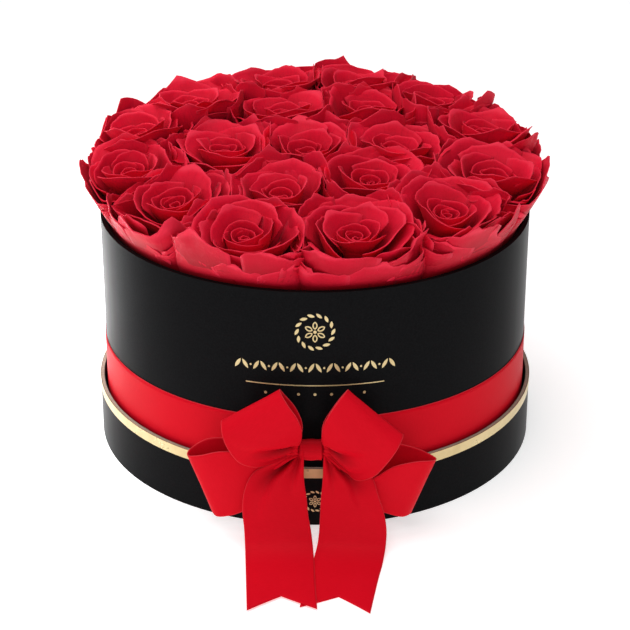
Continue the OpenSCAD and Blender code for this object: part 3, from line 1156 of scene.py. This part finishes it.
@dataclass
class RibbonLength:
    """One length of ribbon between two selvages, each a line through a few points.

    Attributes:
        node: The CAD node that it stands for.
        left: Points of its left selvage, in millimetres from the middle of the bow.
        right: Points of its right selvage.
        flat_length: Its length when it lies flat.
        held: How it is held; not used.
        rests_on: The pieces that it rests on; not used.
        rows: How many points it has along.
        columns: How many it has across.
        thickness: The satin's thickness.
        width: The ribbon's width.
        pleats: How many pleats it has across where it is gathered.
        pleat_depth: Their depth.
        pleat_ends: How deep they are at its start and at its end, as shares.
        pleat_run: The share of the length over which they fade out.
        belly: How far it swells between its selvages.
        notch: Depth of the V cut in its end.
        folded: True if it comes back to where it starts.
        creases: The deep valleys near the knot.
        crease_start: The share of the length before the creases are fully open.
        steep_side: Width of a crease on the side that it drifts from, as a share of the ribbon's.
        slow_side: Width on the other side.
        full_shade_depth: A crease of this depth gets the fullest painted shade.
    """

    node: str
    left: list[Point]
    right: list[Point]
    flat_length: float
    held: str
    rests_on: tuple[str, ...] = ("bow_gather_satin",)
    rows: int = 64
    columns: int = 33
    thickness: float = 0.45 * MM
    width: float = 40 * MM
    pleats: float = 2.5
    pleat_depth: float = 1.9 * MM
    pleat_ends: tuple[float, float] = (1.0, 1.0)
    pleat_run: float = 0.32
    belly: float = 1.2 * MM
    notch: float = 0.0
    folded: bool = True
    creases: tuple[Crease, ...] = ()
    crease_start: float = 0.04
    steep_side: float = 0.07
    slow_side: float = 0.22
    full_shade_depth: float = 7 * MM

    def build(self, finishes: Finishes, origin: Vector) -> None:
        """Makes the length of ribbon as one piece, which stands for its CAD node.

        Args:
            finishes: The materials.
            origin: The middle of the bow, which the selvages' points start from.
        """
        across = np.linspace(0, 1, self.columns)
        grid = np.zeros((self.rows, self.columns, 3))
        flat = np.zeros((self.rows, self.columns, 2))
        left = np.array(self.left) * MM + np.array(origin)
        right = np.array(self.right) * MM + np.array(origin)
        along = np.linspace(0, 1, self.rows)
        for j, w in enumerate(across):
            cut = 1 - self.notch / self.flat_length * (1 - abs(2 * w - 1))
            at = along * cut
            grid[:, j] = (1 - w) * smooth_line(left, at) + w * smooth_line(right, at)
            flat[:, j, 0] = w * self.width
            flat[:, j, 1] = at * self.flat_length
        relief, depth = self.relief(along, across)
        grid += self.normals(grid) * relief[..., None]
        faces = grid_faces(self.rows, self.columns)
        piece = mesh_piece(self.node + "_satin", grid.reshape(-1, 3), faces)
        # The painted shade in the creases, which the satin's finish reads.
        add_values(piece, "depth", depth.ravel())
        add_uv(piece, flat.reshape(-1, 2))
        finishes.fit(piece, Slot.SATIN, self.thickness, self.node)
        LOG.info("%s is %.0f mm of ribbon", piece.name, self.flat_length / MM)

    def normals(self, grid: np.ndarray) -> np.ndarray:
        """Works out which way the sheet faces.

        Args:
            grid: The sheet's points, rows by columns by 3.

        Returns:
            The normal at each point.
        """
        lengthwise = np.gradient(grid, axis=0)
        crosswise = np.gradient(grid, axis=1)
        normal = np.cross(lengthwise, crosswise)
        return normal / np.maximum(np.linalg.norm(normal, axis=2, keepdims=True), 1e-12)

    def relief(self, along: np.ndarray, across: np.ndarray) -> tuple[np.ndarray, np.ndarray]:
        """How far the sheet stands off its selvages: pleats at the gather, creases and a soft belly.

        Args:
            along: Share of the length at each row.
            across: Share of the width at each column.

        Returns:
            The heights, and the painted shade of each point deep in a crease, from 0 to 1, rows by columns.
        """
        t = along[:, None]
        w = across[None, :]
        start = np.clip(1 - t / self.pleat_run, 0, 1) ** 1.5 * self.pleat_ends[0]
        end = np.clip(1 - (1 - t) / self.pleat_run, 0, 1) ** 1.5 * self.pleat_ends[1]
        relief = self.pleat_depth * np.sin(2 * math.pi * self.pleats * w) * (start + end)
        opened = np.clip(t / self.crease_start, 0, 1)
        hidden = np.zeros_like(relief)
        for crease in self.creases:
            off = (w - crease.place - crease.drift * t) * (1 if crease.drift > 0 else -1)
            spread = np.where(off < 0, self.steep_side, self.slow_side) * (1 + 0.8 * np.exp(-t / 0.06))
            fade = np.clip(1 - t / crease.run, 0, 1)
            valley = np.exp(-((off / spread) ** 2)) * opened
            relief = relief - crease.depth * valley * fade
            # Painted shade: nearly black deep in each valley near the knot, fading out along it.
            dark = np.clip((0.7 * crease.run - t) / (0.4 * crease.run), 0, 1)
            hidden = np.maximum(hidden, valley**1.5 * dark * min(1.0, crease.depth / self.full_shade_depth))
        swell = np.sin(2 * math.pi * t) ** 2 if self.folded else np.sin(math.pi * t)
        relief = relief + self.belly * np.sin(math.pi * w) * swell
        return relief * (-1 if self.folded else 1), hidden


@dataclass
class RibbonBand:
    """The ribbon round the box, whose lower edge is hidden in the lid. It's drawn in at the bow.

    Attributes:
        finishes: The materials.
        steps: How many points it has round the box.
        rows: How many it has up its width.
        pinch_reach: How far from the bow's middle it is drawn in.
        pinch_low: How far under the knot its lower edge then is.
        pinch_high: How far under the knot's top its upper edge then is.
        pleats: How many pleats it has there.
        pleat_depth: Their depth.
        satin_share: The satin's share of the thickness that the CAD gives the band.
    """

    finishes: Finishes
    steps: int = 480
    rows: int = 15
    pinch_reach: float = 17 * MM
    pinch_low: float = 5 * MM
    pinch_high: float = 8.5 * MM
    pleats: float = 3.0
    pleat_depth: float = 1.1 * MM
    satin_share: float = 0.9

    def build(self) -> None:
        """Makes the band as a closed ring that stands for its CAD node."""
        low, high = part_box("ribbon_band")
        knot_low, knot_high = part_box("bow_wrap")
        bow_x = (knot_low.x + knot_high.x) / 2
        thickness = high.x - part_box("box_wrap")[1].x
        radius = high.x - thickness / 2
        points, flat = [], []
        for a in np.linspace(0, 2 * math.pi, self.steps, endpoint=False):
            pinch = math.exp(-(((radius * math.cos(a) - bow_x) / self.pinch_reach) ** 4))
            pinch *= math.sin(a) < 0
            bottom = low.z + (knot_low.z - self.pinch_low - low.z) * pinch
            top = high.z + (knot_high.z - self.pinch_high - high.z) * pinch
            for w in np.linspace(0, 1, self.rows):
                stand = self.pleat_depth * pinch * math.sin(self.pleats * math.pi * w) ** 2
                r = radius + stand
                points.append((r * math.cos(a), r * math.sin(a), bottom + (top - bottom) * w))
                flat.append((w * (high.z - low.z), a * radius))
        faces = grid_faces(self.steps, self.rows, closed=True)
        band = mesh_piece("ribbon_band_satin", np.array(points), faces)
        add_uv(band, np.array(flat))
        self.finishes.fit(band, Slot.SATIN, thickness * self.satin_share, "ribbon_band")
        LOG.info("%s runs round the box", band.name)


@dataclass
class BowKnot:
    """A short piece of ribbon folded round the middle of the bow: the wrap, or the gathers in it.

    Attributes:
        finishes: The materials.
        node: The CAD node that it stands for.
        width: The folded piece's width.
        inset: How much smaller it is all round than the outline.
        rests_on: The piece that it rests on; not used.
        folds: How many folds it has across.
        fold_depth: Their depth.
        thickness: The satin's thickness.
        steps: How many points it has round the knot.
        columns: How many it has across.
        outline: The knot from the side: forward and up from its middle, in millimetres.
        ribbon_middle: Where it is cut from across the ribbon, clear of the selvages.
        shade_at_middle: How much painted shade it has at half height, as a share of the satin's deepest.
        shade_height: Height over which the painted shade would go from none to full, deeper towards the top.
    """

    finishes: Finishes
    node: str
    width: float
    inset: float
    rests_on: str
    folds: float
    fold_depth: float
    thickness: float = 0.5 * MM
    steps: int = 72
    columns: int = 21
    outline: tuple[tuple[float, float], ...] = (
        (0.9, -7.0), (0.1, -5.4), (0.6, -3.0), (1.5, -0.4), (1.0, 2.2), (0.2, 4.8), (0.5, 6.4), (1.8, 6.6),
        (4.4, 4.2), (7.4, 0.6), (9.4, -2.4), (9.6, -5.0), (7.6, -6.8), (4.0, -7.4), (0.9, -7.0))
    ribbon_middle: float = 20 * MM
    shade_at_middle: float = 0.25
    shade_height: float = 20 * MM

    def build(self) -> None:
        """Makes the piece as a closed loop with soft folds, against the front of its CAD node."""
        low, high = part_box(self.node)
        side = np.array(self.outline) * MM
        middle = (side.min(0) + side.max(0)) / 2
        shrink = 1 - self.inset / (side.max(0) - middle)
        ring = smooth_line((side - middle) * shrink + middle, np.linspace(0, 1, self.steps + 1))[:-1]
        centre = (low + high) / 2
        outward = (ring - middle) / np.linalg.norm(ring - middle, axis=1, keepdims=True)
        points, flat = [], []
        girth = float(np.linalg.norm(np.diff(ring, axis=0), axis=1).sum())
        for k in range(self.steps):
            for w in np.linspace(-1, 1, self.columns):
                y, z = ring[k] + outward[k] * self.fold_depth * math.cos(self.folds * math.pi * w)
                points.append((centre.x + w * self.width / 2, low.y + self.thickness + y, centre.z + z))
                flat.append((self.ribbon_middle + w * self.width / 2, k / self.steps * girth))
        faces = grid_faces(self.steps, self.columns, closed=True)
        knot = mesh_piece(self.node + "_satin", np.array(points), faces)
        # Painted shade, deeper towards the top of the knot, which lies in the loops' shadow.
        depth = np.clip(self.shade_at_middle + ring[:, 1] / self.shade_height, 0.05, 0.6)
        add_values(knot, "depth", np.repeat(depth, self.columns))
        add_uv(knot, np.array(flat))
        self.finishes.fit(knot, Slot.SATIN, self.thickness, self.node)
        LOG.info("%s is in the middle of the bow", knot.name)


@dataclass
class Bow:
    """The four loops and two tails, each its own length of ribbon, and the knot that holds them.

    Attributes:
        finishes: The materials.
        upper_length: Length of ribbon in each upper loop.
        lower_length: Length in each lower loop.
        tail_length: Length in each tail.
        notch: Depth of the V cut in a tail's end.
        gather_width: Width of the gathers in the knot.
        gather_inset: How far they lie inside the wrap.
        wrap_width: Width of the strip that is wrapped round them.
    """

    finishes: Finishes
    upper_length: float = 0.104
    lower_length: float = 0.128
    tail_length: float = 0.138
    notch: float = 15 * MM
    gather_width: float = 15 * MM
    gather_inset: float = 1.2 * MM
    wrap_width: float = 13.5 * MM

    def upper_loop(self, side: str, left: list[Point], right: list[Point],
                   creases: tuple[Crease, ...]) -> RibbonLength:
        """One of the two loops that stand up from the knot.

        Args:
            side: Which side it is on, left or right.
            left: Points of its left selvage.
            right: Points of its right selvage.
            creases: Its deep valleys.

        Returns:
            The loop.
        """
        return RibbonLength("loop_upper_" + side, left, right, self.upper_length, "gathered",
                            creases=creases, pleat_ends=(0.2, 0.6))

    def lower_loop(self, side: str, left: list[Point], right: list[Point]) -> RibbonLength:
        """One of the two loops that reach out to the sides.

        Args:
            side: Which side it is on, left or right.
            left: Points of its left selvage.
            right: Points of its right selvage.

        Returns:
            The loop.
        """
        return RibbonLength("loop_lower_" + side, left, right, self.lower_length, "gathered")

    def tail(self, side: str, left: list[Point], right: list[Point],
             creases: tuple[Crease, ...]) -> RibbonLength:
        """One of the two tails, which hang over the lid's edge and lie on the floor.

        Args:
            side: Which side it is on, left or right.
            left: Points of its left selvage.
            right: Points of its right selvage.
            creases: Its deep valleys.

        Returns:
            The tail.
        """
        return RibbonLength("tail_" + side, left, right, self.tail_length, "hung", notch=self.notch,
                            creases=creases, pleat_ends=(1.0, 0.0), pleat_depth=1.2 * MM, folded=False)

    def lengths(self) -> list[RibbonLength]:
        """Lays out the lengths of ribbon, in millimetres from the middle of the bow.

        Returns:
            The loops, then the tails.
        """
        return [
            self.upper_loop(
                "left",
                left=[(-8, -6, -3), (-22, -12, -7), (-33, -17, -6.5), (-43, -18.5, -2.5),
                      (-50, -17, 7), (-53.5, -14, 18), (-53.5, -9, 22), (-49, -3.5, 17), (-38, -1, 8),
                      (-22, -1, 1), (-8, -2, -2)],
                right=[(-8, -7, 3), (-6, -13, 10), (-5.5, -16.5, 20), (-8.5, -18, 29),
                       (-14, -15.5, 36.5), (-17.5, -12, 41.5), (-18.5, -8, 42.5), (-15.5, -4.5, 37),
                       (-9, -2.5, 27), (-5, -1.5, 14), (-7, -2, 3)],
                creases=(Crease(0.86, -2.0, 7.0 * MM, 0.45), Crease(0.25, -0.6, 3.0 * MM, 0.4))),
            self.upper_loop(
                "right",
                left=[(8, -7, 3), (6.5, -13, 11), (7.5, -16.5, 22), (11, -18, 31), (16, -15.5, 38),
                      (20.5, -12, 42.5), (22, -8, 42.5), (19, -4.5, 37), (13, -2.5, 27), (7, -1.5, 14),
                      (7, -2, 3)],
                right=[(8, -6, -3), (18, -12, -9.5), (27, -17, -15.5), (37, -19, -12), (46, -18.5, -2),
                       (53, -16, 8.5), (55.5, -11, 13), (53, -5, 11), (40, -1.5, 5), (22, -1, 0),
                       (8, -2, -2)],
                creases=(Crease(0.18, 1.6, 7.0 * MM, 0.4), Crease(0.75, 0.6, 3.0 * MM, 0.4))),
            self.lower_loop(
                "left",
                left=[(-8, -3, -6), (-22, -7, -25), (-36, -8.5, -38), (-50, -7, -45.5),
                      (-59, -3.5, -47.5), (-61, 0.5, -46.5), (-56, 3, -42), (-42, 3, -30),
                      (-24, 1, -15), (-8, 0, -5)],
                right=[(-8, -4, -2), (-24, -9, 0), (-40, -11.5, 2), (-56, -11.5, 2), (-68, -9, -2),
                       (-75, -4, -4.5), (-75, 0.5, -4.5), (-66, 4.5, 1), (-46, 5, 2), (-24, 2.5, 0),
                       (-8, 0, 0)]),
            self.lower_loop(
                "right",
                left=[(8, -4, -2), (22, -9, -12), (37, -11.5, -16), (50, -12, -8), (64, -9.5, -6),
                      (75, -5, -7.5), (76.5, 0, -9), (70, 4.5, -7), (50, 5, -1), (26, 2.5, 0),
                      (8, 0, 0)],
                right=[(8, -3, -6), (22, -7, -26), (36, -8.5, -38), (48, -7.5, -44), (58, -4.5, -47.5),
                       (62, 0, -47), (57, 3, -42), (42, 3, -30), (24, 1, -15), (8, 0, -5)]),
            self.tail(
                "left",
                left=[(-9, -4, 0), (-22, -9.5, -6), (-35, -13, -12), (-40.5, -17, -23),
                      (-41.5, -20.5, -34), (-40.5, -24, -45), (-40, -29, -51.8), (-39.5, -38, -55.8),
                      (-38.5, -60, -57), (-37, -93, -57)],
                right=[(-4.5, -4, -1), (-4.4, -9, -8), (-4.2, -12.5, -17), (-2.5, -17, -28),
                       (-1.5, -20.5, -38), (0, -24, -45), (1, -29, -51.4), (1.8, -38, -55.6),
                       (2.5, -60, -57), (3.8, -91.5, -57)],
                creases=(Crease(0.5, -0.7, 6.0 * MM, 0.45), Crease(0.8, -0.3, 3.0 * MM, 0.3))),
            self.tail(
                "right",
                left=[(8, -4, -1), (7.6, -8, -9), (7.2, -11.5, -18), (6, -15.5, -29), (5.5, -19, -39),
                      (5, -23, -46.5), (4, -28, -52.8), (2, -37, -56.5), (-1.5, -60, -57.8),
                      (-6.5, -88.5, -57.8)],
                right=[(10, -4, 0), (24, -9.5, -8), (37, -13, -15), (41, -17, -26), (44.5, -20.5, -36),
                       (46, -24, -46), (45.5, -29, -52.8), (44, -38, -56.6), (40, -60, -57.8),
                       (34.4, -95, -57.8)],
                creases=(Crease(0.45, 0.6, 6.0 * MM, 0.45), Crease(0.2, 0.3, 3.0 * MM, 0.3))),
        ]

    def build(self) -> None:
        """Makes the loops, the tails and the two pieces of the knot."""
        origin = centre_of("bow_wrap")
        for length in self.lengths():
            length.build(self.finishes, origin)
        BowKnot(self.finishes, "bow_gather", self.gather_width, self.gather_inset,
                rests_on="bow_glue_pad", folds=4.5, fold_depth=0.5 * MM).build()
        BowKnot(self.finishes, "bow_wrap", self.wrap_width, inset=0.0,
                rests_on="bow_gather_satin", folds=1.6, fold_depth=0.2 * MM).build()


# ---- Studio ----

@dataclass(frozen=True)
class Softbox:
    """A rectangular light and what it points at.

    Attributes:
        name: The light's name.
        place: Where it stands.
        size: Its width and height.
        power: Its power in watts.
        aim: The point that it faces.
        spread: The full angle that it shines into.
    """

    name: str
    place: Point
    size: tuple[float, float]
    power: float
    aim: Point = (0.0, 0.0, 0.1)
    spread: float = math.pi

    def build(self) -> None:
        """Adds the light."""
        data = bpy.data.lights.new(self.name, "AREA")
        data.shape = "RECTANGLE"
        data.size, data.size_y = self.size
        data.energy = self.power
        data.spread = self.spread
        light = bpy.data.objects.new(self.name, data)
        light.location = self.place
        light.rotation_mode = "QUATERNION"
        light.rotation_quaternion = (Vector(self.aim) - Vector(self.place)).to_track_quat("-Z", "Y")
        light.visible_camera = False
        bpy.context.scene.collection.objects.link(light)


@dataclass
class Studio:
    """The pale floor, the soft light and the camera.

    Attributes:
        elevation: How steeply the camera looks down.
        distance: How far it stands from the point that it faces.
        lens: Its focal length in millimetres.
        sensor: Its sensor's width in millimetres.
        aim: The point that it faces.
        floor_size: Length of the floor's sides.
        floor_colour: The floor's darker tone.
        floor_mottle: How much lighter its other tone is.
        floor_glow: How brightly it glows, which keeps shadows faint.
        left_wall: Brightness of the room on the left.
        right_wall: Brightness of the room on the right.
        softboxes: The lights.
    """

    elevation: float = math.radians(25.445)
    distance: float = 1.317
    lens: float = 111.85
    sensor: float = 36.0
    aim: Point = (0.0, 0.0, 0.0757)
    floor_size: float = 30.0
    floor_colour: Colour = (0.88, 0.88, 0.88)
    floor_mottle: float = 0.02
    floor_glow: float = 0.5
    left_wall: float = 0.55
    right_wall: float = 0.08
    softboxes: tuple[Softbox, ...] = (
        Softbox("top_softbox", (-0.15, -0.1, 1.5), (1.4, 1.2), 13.0),
        Softbox("front_fill", (0.1, -1.6, 0.8), (1.2, 0.8), 5.0),
        Softbox("left_strip", (-1.25, 0.15, 0.35), (0.25, 1.0), 3.0),
        Softbox("floor_wash", (-0.42, 0.3, 0.5), (0.25, 0.25), 1.5, (-0.32, 0.17, 0.0), math.radians(60)),
        Softbox("right_strip", (1.3, 0.35, 0.3), (0.3, 0.9), 0.8))

    def build(self) -> None:
        """Makes the floor, the lights, the room and the camera."""
        self.floor()
        for softbox in self.softboxes:
            softbox.build()
        self.room()
        self.camera()
        view = bpy.context.scene.view_settings
        view.view_transform = "Standard"
        view.look = "None"

    def room(self) -> None:
        """Lights the room round the studio, brighter on the left than on the right."""
        world = bpy.data.worlds.new("studio")
        world.use_nodes = True
        background = world.node_tree.nodes["Background"]
        background.inputs["Color"].default_value = (1.0, 1.0, 1.0, 1.0)
        nodes, links = world.node_tree.nodes, world.node_tree.links
        direction = nodes.new("ShaderNodeTexCoord")
        parts = nodes.new("ShaderNodeSeparateXYZ")
        fade = nodes.new("ShaderNodeMapRange")
        fade.inputs["From Min"].default_value = -1.0
        fade.inputs["To Min"].default_value = self.left_wall
        fade.inputs["To Max"].default_value = self.right_wall
        links.new(direction.outputs["Generated"], parts.inputs["Vector"])
        links.new(parts.outputs["X"], fade.inputs["Value"])
        links.new(fade.outputs["Result"], background.inputs["Strength"])
        bpy.context.scene.world = world

    def floor(self) -> None:
        """Lays a wide white floor with a little glow, so that shadows stay faint."""
        half = self.floor_size / 2
        corners = np.array([[-half, -half, 0], [half, -half, 0], [half, half, 0], [-half, half, 0]])
        floor = mesh_piece("floor", corners, [(0, 1, 2, 3)])
        r = Recipe("studio_floor")
        r.constants(Roughness=0.9, Specular_IOR_Level=0.1, Emission_Color=(1.0, 1.0, 1.0, 1.0),
                    Emission_Strength=self.floor_glow)
        mottled = r.noise(r.coordinates((1, 1, 1)), 2.0)
        lighter = tuple(c + self.floor_mottle for c in self.floor_colour)
        r.link(r.blend(mottled, self.floor_colour, lighter), r.shader.inputs["Base Color"])
        floor.data.materials.append(r.material)

    def camera(self) -> None:
        """Places the camera in front of the bow, looking down on the roses."""
        data = bpy.data.cameras.new("camera")
        data.lens = self.lens
        data.sensor_width = self.sensor
        camera = bpy.data.objects.new("camera", data)
        back = Vector((0.0, -math.cos(self.elevation), math.sin(self.elevation)))
        camera.location = Vector(self.aim) + back * self.distance
        camera.rotation_mode = "QUATERNION"
        camera.rotation_quaternion = (-back).to_track_quat("-Z", "Y")
        bpy.context.scene.collection.objects.link(camera)
        bpy.context.scene.camera = camera


def main() -> None:
    """Builds the flower box's pieces in order, then the studio."""
    logging.basicConfig(level=logging.INFO, format="%(name)s: %(message)s")
    finishes = Finishes()
    CadPieces(finishes).build()
    RoseBed(finishes).build()
    RibbonBand(finishes).build()
    Bow(finishes).build()
    Studio().build()


if __name__ == "__main__":
    main()
